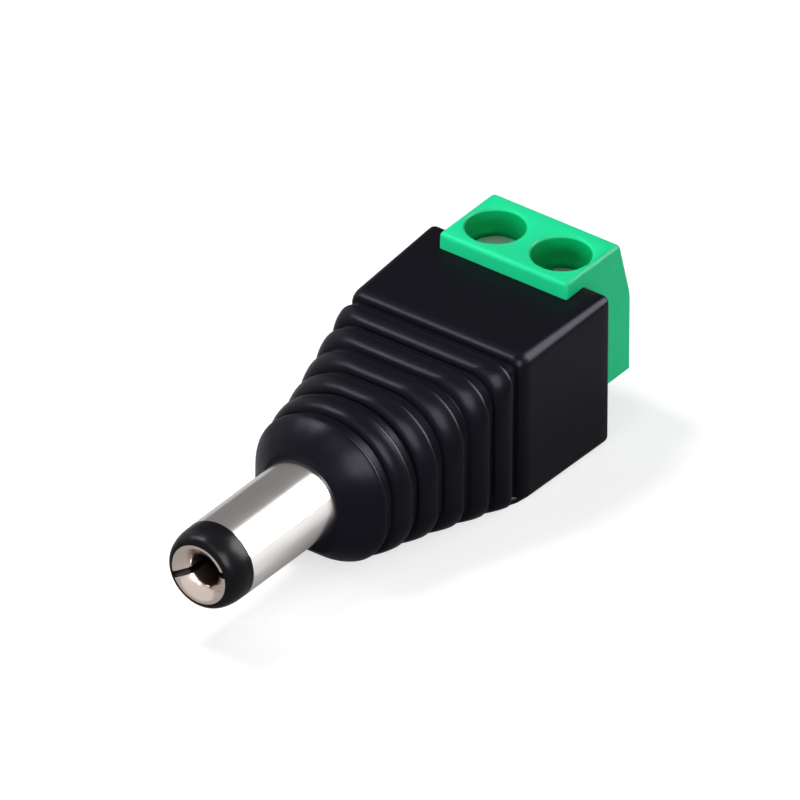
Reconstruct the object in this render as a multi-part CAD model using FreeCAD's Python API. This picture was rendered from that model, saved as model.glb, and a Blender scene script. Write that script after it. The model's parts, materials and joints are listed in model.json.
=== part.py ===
import FreeCAD, Part

import math
import os

from FreeCAD import Vector

os.makedirs("parts", exist_ok=True)

# A DC barrel plug with a two-way screw terminal block.
# Millimetres. The plug's axis is the Y axis and its tip points along -Y.
# The origin is on that axis, where the barrel leaves the nose of the housing.
# +Z is up, the way the terminal screws are reached.

# Barrel: the outer contact, its insulator and the inner contact
BARREL_RADIUS = 2.75
BARREL_LENGTH = 8.03
BARREL_BORE_RADIUS = 1.95
BARREL_EDGE_CHAMFER = 0.15
STEM_RADIUS = 2.35
SWAGE_RADIUS = 2.75
SWAGE_LENGTH = 0.4
TIP_LENGTH = 2.75
TIP_RADIUS = 2.7
TIP_FACE_RADIUS = 2.12
TIP_COLLAR = 1.15
TIP_STEPS = 3
CONTACT_RADIUS = 1.45
CONTACT_BORE_RADIUS = 1.05
CONTACT_BORE_LENGTH = 9.0
FUNNEL_RADIUS = 2.05
FUNNEL_LIP = 0.15
FUNNEL_DEPTH = 0.9
SLIT_WIDTH = 0.45
SLIT_LENGTH = 4.6
SLIT_ANGLE = 20.0
CONTACT_FLANGE_RADIUS = 1.8
CONTACT_FLANGE_LENGTH = 0.4
INSULATOR_OVERHANG = 0.6
TAIL_CRANK = 1.0

# Sleeve lug, behind the nose wall
LUG_THICKNESS = 0.4
LUG_RING_RADIUS = 3.4
LUG_TAIL_HALF_WIDTH = 0.8
LUG_TAIL_LENGTH = 4.9

# Housing: a box that opens towards the rear, five ribs and a nose
HOUSING_BOTTOM = -5.14
BOX_LENGTH = 9.1
BOX_REAR_HALF_WIDTH = 6.93
BOX_REAR_TOP = 5.75
BOX_REAR_CORNER = 0.5
BOX_FRONT_HALF_WIDTH = 6.744
BOX_FRONT_TOP = 5.53
BOX_FRONT_TOP_CORNER = 0.75
BOX_FRONT_LOW_CORNER = 0.4
BOX_FRONT_ROUNDING = 0.55
BOX_REAR_ROUNDING = 0.45
TAPER_LENGTH = 13.98
NOSE_HALF_WIDTH = 5.09
NOSE_TOP = 4.77
NOSE_TOP_CORNER = 5.58
TOP_CORNER_CURVE = 2.2
NOSE_LOW_CORNER = 4.15
LOW_CORNER_CURVE = 1.75
NOSE_FACE_HALF_WIDTH = 2.95
NOSE_FACE_TOP = 3.37
NOSE_FACE_BOTTOM = -3.49
NOSE_FACE_CORNER = 2.9
NOSE_BULGE = 0.1
NOSE_WALL = 3.0
RIB_COUNT = 5
RIB_PITCH = 2.18
GROOVE_WIDTH = 0.66
GROOVE_DEPTH = 0.5
RIB_FRONT_ROUNDING = 0.62
RIB_REAR_ROUNDING = 0.22
GROOVE_DEEPEST = 0.6
LOW_CORNER_FADE = 1.8
UNDERSIDE_TRIM = 0.02
RIM_STEPS = 2
SMALLEST_FLAT = 0.05
SMALLEST_CORNER = 0.15
WALL = 1.5
CAVITY_NOSE_RADIUS = 3.6
CAVITY_NOSE_LENGTH = 1.4
CAVITY_FRONT_HALF = 3.45
CAVITY_FRONT_BEVEL = 1.6
CAVITY_STEP = 9.6
CAVITY_HALF_WIDTH = 4.5
CAVITY_BEVEL = 0.8

# Terminal block
POLE_PITCH = 5.08
BLOCK_WIDTH = 9.91
BLOCK_TOP = 6.81
BLOCK_BOTTOM = -2.9
BLOCK_SEAT = 2.08
BLOCK_TOP_LENGTH = 5.75
SCREW_SETBACK = 2.75
BLOCK_LENGTH = 6.7
BLOCK_SLOPE_FOOT = 3.35
BLOCK_TENON_LENGTH = 2.0
BLOCK_EDGE_BEVEL = 0.2
WELL_RADIUS = 1.95
WIRE_ENTRY_WIDTH = 2.8
WIRE_ENTRY_HEIGHT = 2.9
WIRE_ENTRY_LEAD_IN = 0.3

# Terminal cage, pin, screw and wire guard
CAGE_WIDTH = 3.6
CAGE_LENGTH = 4.4
CAGE_SIDE_WALL = 0.5
CAGE_FLOOR = 0.6
CAGE_FRONT_WALL = 0.6
CAGE_BOTTOM = -2.1
WIRE_OPENING = 2.6
THREAD_PLATE = 1.2
PIN_WIDTH = 1.2
PIN_THICKNESS = 0.6
PIN_LENGTH = 3.2
PIN_SHOULDER_WIDTH = 2.0
PIN_SHOULDER_LENGTH = 0.8
SCREW_RADIUS = 1.2
SCREW_HEAD_RADIUS = 1.8
SCREW_HEAD_HEIGHT = 1.3
SCREW_HEAD_CHAMFER = 0.2
SCREW_SLOT_WIDTH = 0.55
SCREW_SLOT_DEPTH = 0.65
SCREW_NECK_RADIUS = 0.7
GUARD_THICKNESS = 0.4
GUARD_LENGTH = 3.2
HEAD_ABOVE_PLATE_CLOSED = 0.25
RAISED = {"left": 1.11, "right": 0.76}
SLOT_ANGLE = {"left": 32.0, "right": -24.0}

# Leads inside the housing
LEAD_CORE_RADIUS = 0.4
LEAD_RADIUS = 0.8
LEAD_START = 8.6
LEAD_STRIP = 2.0
SOLDER_LENGTH = 1.5
SOLDER_RADIUS = 0.65
SOLDER_FILM = 0.06
LEAD_TO_PIN = 0.5
LEAD_TO_TAIL = 0.5

# Clearances
PRESS_GAP = 0.02
BLOCK_GAP = 0.03
CHAMBER_GAP = 0.05
THREAD_GAP = 0.07
GUARD_GAP = 0.05
NECK_GAP = 0.05

# How far a cut runs past the face that it opens
CUT_REACH = 1.0

# Places that follow from the sizes above
BOX_FRONT = TAPER_LENGTH
BOX_REAR = BOX_FRONT + BOX_LENGTH
TIP_FACE = -BARREL_LENGTH - TIP_LENGTH
LUG_FRONT = NOSE_WALL
LUG_REAR = LUG_FRONT + LUG_THICKNESS
STEM_REAR = LUG_REAR + SWAGE_LENGTH
INSULATOR_REAR = STEM_REAR + INSULATOR_OVERHANG
CONTACT_FLANGE_REAR = INSULATOR_REAR + CONTACT_FLANGE_LENGTH
BLOCK_FRONT = BOX_REAR - BLOCK_SEAT
BLOCK_REAR = BLOCK_FRONT + BLOCK_LENGTH
SCREW_Y = BLOCK_FRONT + SCREW_SETBACK
BLOCK_HALF_WIDTH = BLOCK_WIDTH / 2
TENON_FRONT = BLOCK_FRONT - BLOCK_TENON_LENGTH
CAVITY_TOP = BOX_FRONT_TOP - WALL
TENON_TOP = CAVITY_TOP - BLOCK_GAP
CAGE_INNER_FLOOR = CAGE_BOTTOM + CAGE_FLOOR
PLATE_BOTTOM = CAGE_INNER_FLOOR + WIRE_OPENING
CAGE_TOP = PLATE_BOTTOM + THREAD_PLATE
CAGE_FRONT = SCREW_Y - CAGE_LENGTH / 2
CAGE_REAR = SCREW_Y + CAGE_LENGTH / 2
CAGE_INNER_HALF = CAGE_WIDTH / 2 - CAGE_SIDE_WALL
PIN_FRONT = TENON_FRONT - PIN_LENGTH
CLOSED_HEAD_BOTTOM = CAGE_TOP + HEAD_ABOVE_PLATE_CLOSED
CLOSED_GUARD_BOTTOM = CAGE_INNER_FLOOR + PRESS_GAP
LEAD_Z = PIN_THICKNESS / 2 + SOLDER_FILM + LEAD_CORE_RADIUS
LEAD_END = PIN_FRONT - LEAD_TO_PIN
LUG_TAIL_INNER = POLE_PITCH / 2 + LEAD_CORE_RADIUS + SOLDER_FILM
CONTACT_TAIL_REAR = LEAD_START - LEAD_TO_TAIL
POLE_X = {"left": -POLE_PITCH / 2, "right": POLE_PITCH / 2}

AXIS = Vector(0, 1, 0)
UP = Vector(0, 0, 1)


def box(x0, x1, y0, y1, z0, z1):
    """Rectangular block between two corners."""
    return Part.makeBox(x1 - x0, y1 - y0, z1 - z0, Vector(x0, y0, z0))


def rod(radius, y0, y1, x=0.0, z=0.0):
    """Cylinder parallel to the plug's axis."""
    return Part.makeCylinder(radius, y1 - y0, Vector(x, y0, z), AXIS)


def post(radius, x, y, z0, z1):
    """Upright cylinder."""
    return Part.makeCylinder(radius, z1 - z0, Vector(x, y, z0), UP)


def turned(points):
    """Solid of revolution about the plug's axis from (radius, y) points."""
    corners = [Vector(radius, y, 0) for radius, y in points]
    outline = Part.makePolygon(corners + corners[:1])
    return Part.Face(outline).revolve(Vector(0, 0, 0), AXIS, 360)


def corner_arc(centre, radius, quarter):
    """Quarter circle across the plug's axis, from quarter 0 at +X +Z round to +X -Z."""
    points = []
    for step in range(3):
        angle = math.radians(90 * quarter + 45 * step)
        points.append(centre + Vector(math.cos(angle), 0, math.sin(angle)) * radius)
    return Part.Arc(*points).toShape()


def rounded_outline(y, half_width, top, bottom, top_radius, low_radius):
    """Rectangle across the plug's axis with rounder corners at the top than below."""
    largest = min(half_width, (top - bottom) / 2) - SMALLEST_FLAT
    top_radius = min(max(top_radius, SMALLEST_CORNER), largest)
    low_radius = min(max(low_radius, SMALLEST_CORNER), largest)
    centres = [
        (half_width - top_radius, top - top_radius, top_radius),
        (top_radius - half_width, top - top_radius, top_radius),
        (low_radius - half_width, bottom + low_radius, low_radius),
        (half_width - low_radius, bottom + low_radius, low_radius),
    ]
    arcs = []
    for quarter, (x, z, radius) in enumerate(centres):
        arcs.append(corner_arc(Vector(x, y, z), radius, quarter))
    outline = []
    for arc, following in zip(arcs, arcs[1:] + arcs[:1]):
        end = arc.valueAt(arc.LastParameter)
        start = following.valueAt(following.FirstParameter)
        outline += [arc, Part.makeLine(end, start)]
    return Part.Wire(outline)


def between(start, end, share):
    """Value part of the way from one to another."""
    return start + (end - start) * share


def taper_outline(y, inset=0.0, sized_at=None):
    """Outside of the ribbed grip at y: nearly square at the box, nearly round at the nose.

    A rib keeps the size that the grip has at its middle, given as sized_at. The inset of a rim
    or groove fades round the low corners, so the underside stays flat.
    """
    forward = (BOX_FRONT - (y if sized_at is None else sized_at)) / TAPER_LENGTH
    ease = forward * forward * (3 - 2 * forward)
    top_growth = 1 - (1 - forward) ** TOP_CORNER_CURVE
    low_growth = 1 - (1 - forward) ** LOW_CORNER_CURVE
    return rounded_outline(
        y,
        between(BOX_FRONT_HALF_WIDTH, NOSE_HALF_WIDTH, ease) - inset,
        between(BOX_FRONT_TOP, NOSE_TOP, forward) - inset,
        HOUSING_BOTTOM - UNDERSIDE_TRIM,
        between(BOX_FRONT_TOP_CORNER, NOSE_TOP_CORNER, top_growth) - inset,
        between(BOX_FRONT_LOW_CORNER, NOSE_LOW_CORNER, low_growth) - inset * LOW_CORNER_FADE,
    )


def box_outline(y, inset=0.0, lift=0.0):
    """Outside of the box section at y, which widens a little towards the rear."""
    back = (y - BOX_FRONT) / BOX_LENGTH
    return rounded_outline(
        y,
        between(BOX_FRONT_HALF_WIDTH, BOX_REAR_HALF_WIDTH, back) - inset,
        between(BOX_FRONT_TOP, BOX_REAR_TOP, back) - inset,
        HOUSING_BOTTOM - UNDERSIDE_TRIM + lift,
        between(BOX_FRONT_TOP_CORNER, BOX_REAR_CORNER, back) - inset / 2,
        between(BOX_FRONT_LOW_CORNER, BOX_REAR_CORNER, back) - inset / 2,
    )


def quarter_round(radius, steps):
    """Distances (along, inset) from a rounded rim's face to its full size."""
    places = []
    for step in range(steps + 1):
        angle = math.radians(90 * step / steps)
        places.append((radius * (1 - math.cos(angle)), radius * (1 - math.sin(angle))))
    return places


def nose_face_outline():
    """Outline of the nose's flat face round the barrel."""
    return rounded_outline(
        0.0,
        NOSE_FACE_HALF_WIDTH,
        NOSE_FACE_TOP,
        NOSE_FACE_BOTTOM,
        NOSE_FACE_CORNER,
        NOSE_FACE_CORNER,
    )


def rib_outlines(front, rear):
    """Outlines of one rib from its broad front rim to its tight rear rim."""
    middle = (front + rear) / 2
    outlines = []
    for along, inset in quarter_round(RIB_FRONT_ROUNDING, RIM_STEPS):
        outlines.append(taper_outline(front + along, inset, middle))
    outlines.append(taper_outline(rear - RIB_REAR_ROUNDING, 0.0, middle))
    outlines.append(taper_outline(rear, RIB_REAR_ROUNDING, middle))
    return outlines


def groove_outline(front):
    """Outline of the bottom of the groove that starts behind a rib at y."""
    return taper_outline(front + GROOVE_WIDTH * GROOVE_DEEPEST, GROOVE_DEPTH)


def housing_outlines():
    """Outlines of the whole shell from the nose to the rear of the box."""
    nose_rear = BOX_FRONT - GROOVE_WIDTH - RIB_COUNT * RIB_PITCH
    outlines = [nose_face_outline()]
    middle = nose_rear / 2
    outlines.append(taper_outline(nose_rear - RIB_REAR_ROUNDING, NOSE_BULGE, middle))
    outlines.append(taper_outline(nose_rear, RIB_REAR_ROUNDING, middle))
    rear = nose_rear
    for _ in range(RIB_COUNT):
        outlines.append(groove_outline(rear))
        front = rear + GROOVE_WIDTH
        rear += RIB_PITCH
        outlines += rib_outlines(front, rear)
    outlines.append(groove_outline(rear))
    for along, inset in quarter_round(BOX_FRONT_ROUNDING, RIM_STEPS):
        outlines.append(box_outline(BOX_FRONT + along, inset))
    for along, inset in reversed(quarter_round(BOX_REAR_ROUNDING, RIM_STEPS)):
        outlines.append(box_outline(BOX_REAR - along, inset, inset))
    return outlines


def bevelled_bar(front, rear, half_width, top, bottom, bevel):
    """Bar along the plug's axis with its four long edges cut at 45 degrees."""
    bar = box(-half_width, half_width, front, rear, bottom, top)
    long_edges = []
    for edge in bar.Edges:
        if edge.BoundBox.YLength > (rear - front) / 2:
            long_edges.append(edge)
    return bar.makeChamfer(bevel, long_edges)


def make_housing():
    """Hollow moulded shell: box, ribbed grip and nose in one piece."""
    shell = Part.makeLoft(housing_outlines(), True, True)
    lug_room_rear = NOSE_WALL + CAVITY_NOSE_LENGTH
    reach = CAVITY_FRONT_HALF
    pocket_half = BLOCK_HALF_WIDTH + BLOCK_GAP
    hollows = [
        box(
            -BOX_REAR_HALF_WIDTH,
            BOX_REAR_HALF_WIDTH,
            0,
            BOX_REAR,
            HOUSING_BOTTOM - CUT_REACH,
            HOUSING_BOTTOM,
        ),
        rod(STEM_RADIUS + PRESS_GAP, -CUT_REACH, NOSE_WALL),
        rod(CAVITY_NOSE_RADIUS, NOSE_WALL, lug_room_rear),
        bevelled_bar(lug_room_rear, CAVITY_STEP, reach, reach, -reach, CAVITY_FRONT_BEVEL),
        bevelled_bar(
            CAVITY_STEP,
            TENON_FRONT,
            CAVITY_HALF_WIDTH,
            CAVITY_TOP,
            HOUSING_BOTTOM + WALL,
            CAVITY_BEVEL,
        ),
        box(-pocket_half, pocket_half, TENON_FRONT, BOX_REAR, BLOCK_BOTTOM, CAVITY_TOP),
        box(
            -pocket_half,
            pocket_half,
            BLOCK_FRONT - BLOCK_GAP,
            BOX_REAR,
            BLOCK_BOTTOM,
            BOX_REAR_TOP + WALL,
        ),
    ]
    return shell.cut(hollows).removeSplitter()


def make_barrel_sleeve():
    """Outer contact: shouldered tube whose stem is swaged over the lug."""
    chamfer = BARREL_EDGE_CHAMFER
    return turned(
        [
            (BARREL_BORE_RADIUS, -BARREL_LENGTH),
            (BARREL_RADIUS - chamfer, -BARREL_LENGTH),
            (BARREL_RADIUS, -BARREL_LENGTH + chamfer),
            (BARREL_RADIUS, 0),
            (STEM_RADIUS, 0),
            (STEM_RADIUS, LUG_REAR),
            (SWAGE_RADIUS, LUG_REAR),
            (SWAGE_RADIUS - SWAGE_LENGTH / 2, STEM_REAR),
            (BARREL_BORE_RADIUS, STEM_REAR),
        ]
    )


def funnel_points(gap):
    """Cone under the flared mouth of the inner contact, as (radius, y) points."""
    return [
        (CONTACT_RADIUS + gap, TIP_FACE + FUNNEL_DEPTH),
        (FUNNEL_RADIUS + gap, TIP_FACE + FUNNEL_LIP),
        (FUNNEL_RADIUS + gap, TIP_FACE),
    ]


def tip_profile():
    """Rounded outside of the tip from its face to its collar, as (radius, y) points."""
    points = []
    rounding = TIP_LENGTH - TIP_COLLAR
    for step in range(TIP_STEPS + 1):
        angle = math.radians(90 * step / TIP_STEPS)
        radius = between(TIP_FACE_RADIUS, TIP_RADIUS, math.sin(angle))
        points.append((radius, TIP_FACE + rounding * (1 - math.cos(angle))))
    return points + [(TIP_RADIUS, -BARREL_LENGTH)]


def make_barrel_insulator():
    """Plastic tube with the rounded black tip in front of the sleeve."""
    body = rod(BARREL_BORE_RADIUS - PRESS_GAP, -BARREL_LENGTH, INSULATOR_REAR)
    tip = turned([(0, TIP_FACE)] + tip_profile() + [(0, -BARREL_LENGTH)])
    bore = rod(CONTACT_RADIUS + PRESS_GAP, TIP_FACE, INSULATOR_REAR)
    cone = turned([(0, TIP_FACE + FUNNEL_DEPTH)] + funnel_points(PRESS_GAP) + [(0, TIP_FACE)])
    return body.fuse(tip).cut([bore, cone]).removeSplitter()


def make_centre_contact():
    """Inner contact: flared, slit tube with a rear flange and a cranked solder tail."""
    bore_front = TIP_FACE + FUNNEL_DEPTH
    bore_rear = bore_front + CONTACT_BORE_LENGTH
    outline = [(0, bore_rear + CONTACT_BORE_RADIUS / 2), (CONTACT_BORE_RADIUS, bore_rear)]
    outline.append((CONTACT_BORE_RADIUS, bore_front))
    outline.append((FUNNEL_RADIUS - FUNNEL_LIP, TIP_FACE))
    outline += reversed(funnel_points(0))
    outline.append((CONTACT_RADIUS, INSULATOR_REAR))
    outline.append((CONTACT_FLANGE_RADIUS, INSULATOR_REAR))
    outline.append((CONTACT_FLANGE_RADIUS, CONTACT_FLANGE_REAR))
    outline.append((0, CONTACT_FLANGE_REAR))
    tube = turned(outline)
    slit = box(
        -FUNNEL_RADIUS - CUT_REACH,
        FUNNEL_RADIUS + CUT_REACH,
        TIP_FACE - CUT_REACH,
        TIP_FACE + SLIT_LENGTH,
        -SLIT_WIDTH / 2,
        SLIT_WIDTH / 2,
    )
    slit.rotate(Vector(0, 0, 0), AXIS, -SLIT_ANGLE)
    half = PIN_WIDTH / 2
    bend = CONTACT_FLANGE_REAR + TAIL_CRANK
    far = POLE_X["right"]
    plan = [
        (-half, CONTACT_FLANGE_REAR),
        (half, CONTACT_FLANGE_REAR),
        (far + half, bend),
        (far + half, CONTACT_TAIL_REAR),
        (far - half, CONTACT_TAIL_REAR),
        (far - half, bend + half),
        (-half, CONTACT_FLANGE_REAR + half),
    ]
    corners = [Vector(x, y, -PIN_THICKNESS / 2) for x, y in plan]
    tail = Part.Face(Part.makePolygon(corners + corners[:1])).extrude(UP * PIN_THICKNESS)
    return tube.cut(slit).fuse(tail).removeSplitter()


def make_sleeve_lug():
    """Stamped ring under the swaged stem, with a tail bent back for the lead."""
    ring = rod(LUG_RING_RADIUS, LUG_FRONT, LUG_REAR)
    tail = box(
        -LUG_TAIL_INNER - LUG_THICKNESS,
        -LUG_TAIL_INNER,
        LUG_FRONT,
        LUG_REAR + LUG_TAIL_LENGTH,
        -LUG_TAIL_HALF_WIDTH,
        LUG_TAIL_HALF_WIDTH,
    )
    hole = rod(STEM_RADIUS + PRESS_GAP, LUG_FRONT, LUG_REAR)
    return ring.fuse(tail).cut(hole).removeSplitter()


def make_terminal_block():
    """Green two-way block: sloped prism with wells, chambers and wire entries."""
    profile = [
        (TENON_FRONT, BLOCK_BOTTOM),
        (TENON_FRONT, TENON_TOP),
        (BLOCK_FRONT, TENON_TOP),
        (BLOCK_FRONT, BLOCK_TOP),
        (BLOCK_FRONT + BLOCK_TOP_LENGTH, BLOCK_TOP),
        (BLOCK_REAR, BLOCK_SLOPE_FOOT),
        (BLOCK_REAR, BLOCK_BOTTOM),
    ]
    corners = [Vector(-BLOCK_HALF_WIDTH, y, z) for y, z in profile]
    outline = Part.makePolygon(corners + corners[:1])
    block = Part.Face(outline).extrude(Vector(BLOCK_WIDTH, 0, 0))
    bevelled = []
    for edge in block.Edges:
        bounds = edge.BoundBox
        if bounds.YMin > BLOCK_FRONT - BLOCK_GAP and bounds.ZMax > TENON_TOP + BLOCK_GAP:
            bevelled.append(edge)
    block = block.makeChamfer(BLOCK_EDGE_BEVEL, bevelled)

    cuts = []
    chamber_half = CAGE_WIDTH / 2 + CHAMBER_GAP
    entry_middle = CAGE_INNER_FLOOR + WIRE_OPENING / 2
    for x in POLE_X.values():
        cuts.append(post(WELL_RADIUS, x, SCREW_Y, CAGE_BOTTOM, BLOCK_TOP))
        cuts.append(
            box(
                x - chamber_half,
                x + chamber_half,
                TENON_FRONT,
                CAGE_REAR + CHAMBER_GAP,
                CAGE_BOTTOM,
                CAGE_TOP + CHAMBER_GAP,
            )
        )
        entry = box(
            x - WIRE_ENTRY_WIDTH / 2,
            x + WIRE_ENTRY_WIDTH / 2,
            CAGE_REAR,
            BLOCK_REAR,
            entry_middle - WIRE_ENTRY_HEIGHT / 2,
            entry_middle + WIRE_ENTRY_HEIGHT / 2,
        )
        cuts.append(entry)
        cuts.append(lead_in(x, entry_middle))
    return block.cut(cuts).removeSplitter()


def lead_in(x, z):
    """Flared rim of one wire entry, from the rear face inwards."""
    outlines = []
    for y, grow in ((BLOCK_REAR - WIRE_ENTRY_LEAD_IN, 0.0), (BLOCK_REAR, WIRE_ENTRY_LEAD_IN)):
        half_x = WIRE_ENTRY_WIDTH / 2 + grow
        half_z = WIRE_ENTRY_HEIGHT / 2 + grow
        corners = [
            Vector(x - half_x, y, z - half_z),
            Vector(x + half_x, y, z - half_z),
            Vector(x + half_x, y, z + half_z),
            Vector(x - half_x, y, z + half_z),
        ]
        outlines.append(Part.makePolygon(corners + corners[:1]))
    return Part.makeLoft(outlines, True, True)


def make_terminal_cage(x):
    """Brass cage of one pole: threaded roof, floor, sides and a closed front."""
    half = CAGE_WIDTH / 2
    cage = box(x - half, x + half, CAGE_FRONT, CAGE_REAR, CAGE_BOTTOM, CAGE_TOP)
    long_edges = []
    for edge in cage.Edges:
        if edge.BoundBox.YLength > CAGE_LENGTH - 1e-4:
            long_edges.append(edge)
    cage = cage.makeFillet(CAGE_SIDE_WALL / 2, long_edges)
    opening = box(
        x - CAGE_INNER_HALF,
        x + CAGE_INNER_HALF,
        CAGE_FRONT + CAGE_FRONT_WALL,
        CAGE_REAR,
        CAGE_INNER_FLOOR,
        PLATE_BOTTOM,
    )
    thread = post(SCREW_RADIUS + THREAD_GAP, x, SCREW_Y, PLATE_BOTTOM, CAGE_TOP)
    pin_half = PIN_WIDTH / 2 + PRESS_GAP
    pin_rise = PIN_THICKNESS / 2 + PRESS_GAP
    pin_hole = box(
        x - pin_half, x + pin_half, CAGE_FRONT, CAGE_FRONT + CAGE_FRONT_WALL, -pin_rise, pin_rise
    )
    return cage.cut([opening, thread, pin_hole]).removeSplitter()


def make_terminal_pin(x):
    """Tinned tab staked through the front wall of the cage."""
    rise = PIN_THICKNESS / 2
    tab = box(
        x - PIN_WIDTH / 2, x + PIN_WIDTH / 2, PIN_FRONT, CAGE_FRONT + CAGE_FRONT_WALL, -rise, rise
    )
    shoulder_half = PIN_SHOULDER_WIDTH / 2
    shoulder = box(
        x - shoulder_half,
        x + shoulder_half,
        CAGE_FRONT - PIN_SHOULDER_LENGTH,
        CAGE_FRONT,
        -rise,
        rise,
    )
    return tab.fuse(shoulder).removeSplitter()


def make_terminal_screw(side):
    """Slotted screw at the height that the pole's screw stands at."""
    x = POLE_X[side]
    head_bottom = CLOSED_HEAD_BOTTOM + RAISED[side]
    head_top = head_bottom + SCREW_HEAD_HEIGHT
    guard_bottom = CLOSED_GUARD_BOTTOM + RAISED[side]
    guard_top = guard_bottom + GUARD_THICKNESS
    head = post(SCREW_HEAD_RADIUS, x, SCREW_Y, head_bottom, head_top)
    top_rim = [edge for edge in head.Edges if edge.BoundBox.ZMin > head_top - 1e-4]
    head = head.makeChamfer(SCREW_HEAD_CHAMFER, top_rim)
    shank = post(SCREW_RADIUS, x, SCREW_Y, guard_top + PRESS_GAP, head_bottom)
    neck = post(SCREW_NECK_RADIUS, x, SCREW_Y, guard_bottom, guard_top + PRESS_GAP)
    reach = SCREW_HEAD_RADIUS + CUT_REACH
    slot = box(
        -reach, reach, -SCREW_SLOT_WIDTH / 2, SCREW_SLOT_WIDTH / 2, head_top - SCREW_SLOT_DEPTH, head_top
    )
    slot.rotate(Vector(0, 0, 0), UP, SLOT_ANGLE[side])
    slot.translate(Vector(x, SCREW_Y, 0))
    return head.fuse([shank, neck]).cut(slot).removeSplitter()


def make_wire_guard(side):
    """Pressure plate that the screw's tip carries between the cage's sides."""
    x = POLE_X[side]
    half = CAGE_INNER_HALF - GUARD_GAP
    bottom = CLOSED_GUARD_BOTTOM + RAISED[side]
    plate = box(
        x - half,
        x + half,
        SCREW_Y - GUARD_LENGTH / 2,
        SCREW_Y + GUARD_LENGTH / 2,
        bottom,
        bottom + GUARD_THICKNESS,
    )
    hole = post(SCREW_NECK_RADIUS + NECK_GAP, x, SCREW_Y, bottom, bottom + GUARD_THICKNESS)
    return plate.cut(hole)


def make_lead(x):
    """Insulation and stranded core of one straight lead above its two tabs."""
    core = rod(LEAD_CORE_RADIUS, LEAD_START - LEAD_STRIP, LEAD_END + LEAD_STRIP, x, LEAD_Z)
    insulation = rod(LEAD_RADIUS, LEAD_START, LEAD_END, x, LEAD_Z)
    return insulation.cut(core), core


def make_solder(x, y, cuts):
    """Drop of solder round the bare end of a core, seated on its tab."""
    drop = rod(SOLDER_RADIUS, y - SOLDER_LENGTH / 2, y + SOLDER_LENGTH / 2, x, LEAD_Z)
    return drop.cut(cuts).removeSplitter()


def below_tab(x):
    """Room of the tab that a core is soldered to, up to the soldered face."""
    half = SOLDER_RADIUS + CUT_REACH
    return box(x - half, x + half, 0, BOX_REAR, -PIN_THICKNESS, PIN_THICKNESS / 2)


def main():
    """Build every sub-part and write one file for each."""
    parts = {
        "housing": make_housing(),
        "barrel_sleeve": make_barrel_sleeve(),
        "barrel_insulator": make_barrel_insulator(),
        "centre_contact": make_centre_contact(),
        "sleeve_lug": make_sleeve_lug(),
        "terminal_block": make_terminal_block(),
    }
    for side, x in POLE_X.items():
        parts["terminal_cage_" + side] = make_terminal_cage(x)
        parts["terminal_pin_" + side] = make_terminal_pin(x)
        parts["terminal_screw_" + side] = make_terminal_screw(side)
        parts["wire_guard_" + side] = make_wire_guard(side)

        insulation, core = make_lead(x)
        parts["lead_insulation_" + side] = insulation
        parts["lead_core_" + side] = core
        tail = parts["sleeve_lug"] if side == "left" else below_tab(x)
        parts["solder_tail_" + side] = make_solder(x, LEAD_START - LEAD_STRIP / 2, [core, tail])
        pin_y = LEAD_END + LEAD_STRIP - SOLDER_LENGTH / 2
        parts["solder_pin_" + side] = make_solder(x, pin_y, [core, below_tab(x)])

    for name, shape in parts.items():
        solids = shape.Solids
        print(name, len(solids), shape.isValid(), round(shape.Volume, 3))
        shape.exportStep("parts/" + name + ".step")


main()
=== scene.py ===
import json
import logging
import math
from dataclasses import dataclass, field
from enum import Enum
from typing import Callable, Iterable, Sequence

import bmesh
import bpy
from mathutils import Matrix, Vector

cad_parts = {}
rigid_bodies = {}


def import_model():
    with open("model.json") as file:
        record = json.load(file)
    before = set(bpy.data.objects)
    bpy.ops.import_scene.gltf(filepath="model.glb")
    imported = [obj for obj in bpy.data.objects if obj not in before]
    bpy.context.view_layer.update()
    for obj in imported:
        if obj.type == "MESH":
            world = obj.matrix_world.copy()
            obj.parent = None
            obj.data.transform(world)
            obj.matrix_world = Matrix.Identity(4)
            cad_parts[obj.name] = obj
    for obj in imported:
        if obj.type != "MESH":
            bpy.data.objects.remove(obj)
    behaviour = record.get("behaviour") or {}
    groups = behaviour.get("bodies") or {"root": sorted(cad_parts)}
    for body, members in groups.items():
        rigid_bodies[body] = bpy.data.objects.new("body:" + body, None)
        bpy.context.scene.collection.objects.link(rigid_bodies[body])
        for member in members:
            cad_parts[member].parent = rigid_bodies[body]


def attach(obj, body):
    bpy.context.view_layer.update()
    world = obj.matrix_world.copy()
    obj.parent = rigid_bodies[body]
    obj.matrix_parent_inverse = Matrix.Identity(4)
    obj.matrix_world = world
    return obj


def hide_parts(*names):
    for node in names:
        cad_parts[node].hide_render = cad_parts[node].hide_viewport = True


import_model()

log = logging.getLogger("barrel_plug")

# Sizes below are in millimetres; meshes are scaled to metres when they are made.
MM = 0.001

# How far a cutting shape reaches past what it cuts, in millimetres.
REACH = 1.0

Colour = tuple[float, float, float]
Place = tuple[float, float, float]


class Body(Enum):
    """Rigid bodies of the plug that pieces ride on."""

    SHELL = "shell"
    GUARD_LEFT = "guard_left"
    GUARD_RIGHT = "guard_right"
    SCREW_LEFT = "screw_left"
    SCREW_RIGHT = "screw_right"


class Axis(Enum):
    """Axes that a turned or extruded piece can follow."""

    PLUG = "Y"
    UPRIGHT = "Z"


@dataclass(frozen=True)
class Pole:
    """One of the two terminals.

    Args:
        side: Name used in the frame's nodes.
        x: Place across the plug, in millimetres.
        raised: Height of the clamp above its closed place.
        slot_angle: Turn of the screw's slot, in degrees.
        screw_body: Body that the screw rides on.
    """

    side: str
    x: float
    raised: float
    slot_angle: float
    screw_body: Body


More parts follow.
